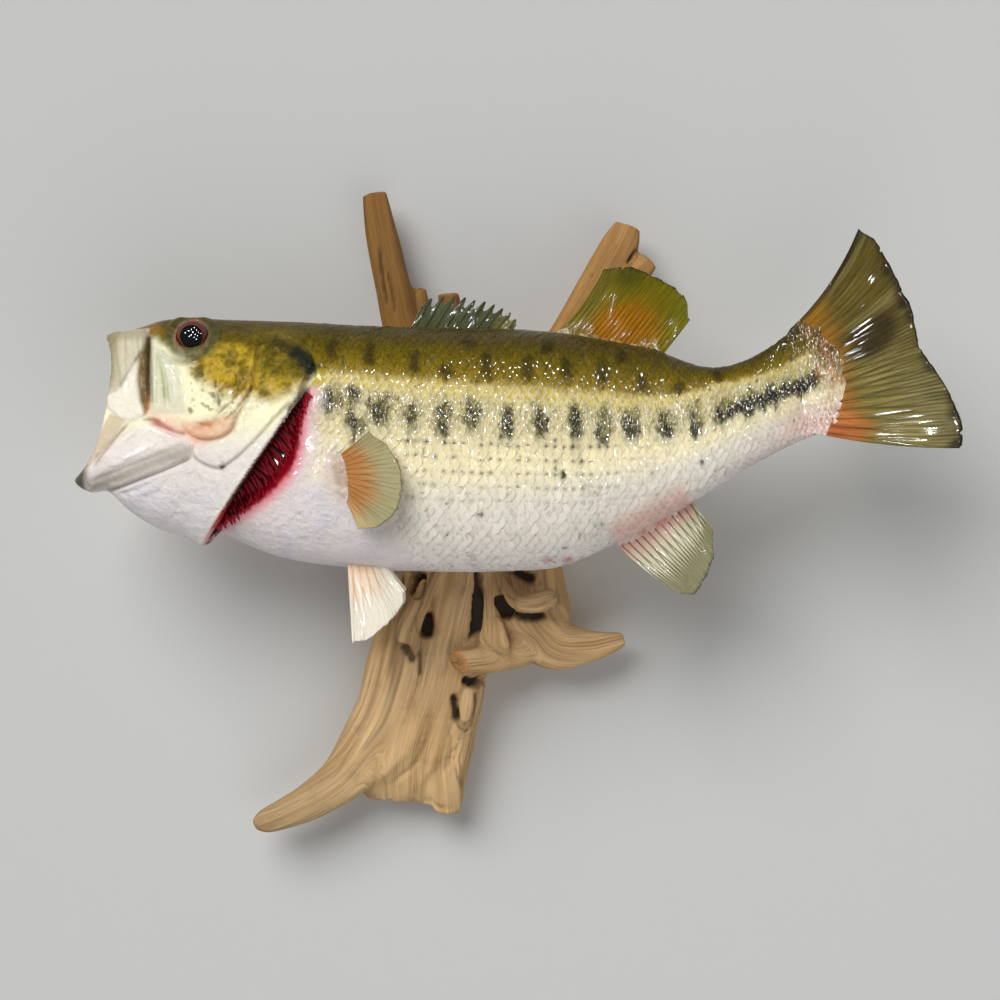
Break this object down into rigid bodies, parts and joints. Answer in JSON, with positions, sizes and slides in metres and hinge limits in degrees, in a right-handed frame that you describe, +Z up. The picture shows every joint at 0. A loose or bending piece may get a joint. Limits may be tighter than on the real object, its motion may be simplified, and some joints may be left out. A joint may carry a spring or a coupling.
{
  "type": "mounted largemouth bass",
  "caption": "Life-size taxidermy largemouth bass with its mouth open, gill covers flared and fins spread, fixed to a piece of driftwood that hangs on a wall.",
  "frame": {"origin": "middle of the flat sawn back of the driftwood, on the wall plane", "axes": "+Z up the wall, +Y into the wall, +X along the fish from its head towards its tail, which faces left seen from the room"},
  "size_m": [0.5536, 0.1553, 0.4231],
  "materials": {
    "fish_skin": "painted fish skin under a thick gloss lacquer, olive above, cream and white below",
    "fins": "dried fins, olive and orange, gloss lacquer",
    "pale_fins": "dried fins, cream and peach, gloss lacquer",
    "gills": "wet red gloss",
    "tongue": "pink gloss",
    "glass_eyes": "polished, black pupil in a red-brown iris",
    "driftwood": "weathered, deeply grained, dry",
    "hanger_steel": "zinc plated"
  },
  "bodies": {
    "root": {"head": "fish_skin", "gill_cover_left": "fish_skin", "gill_cover_right": "fish_skin", "upper_jaw": "fish_skin", "lower_jaw": "fish_skin", "throat": "fish_skin", "trunk": "fish_skin", "tail_base": "fish_skin", "dorsal_fin_spiny": "fins", "dorsal_fin_soft": "fins", "caudal_fin": "fins", "anal_fin": "fins", "pectoral_fin_left": "pale_fins", "pectoral_fin_right": "pale_fins", "pelvic_fin_left": "pale_fins", "pelvic_fin_right": "pale_fins", "gills_left": "gills", "gills_right": "gills", "tongue": "tongue", "eye_left": "glass_eyes", "eye_right": "glass_eyes", "driftwood_trunk": "driftwood", "driftwood_root_left": "driftwood", "driftwood_root_right": "driftwood", "driftwood_branch_left": "driftwood", "driftwood_branch_right": "driftwood", "driftwood_stub": "driftwood", "wall_hanger": "hanger_steel"}
  },
  "joints": []
}
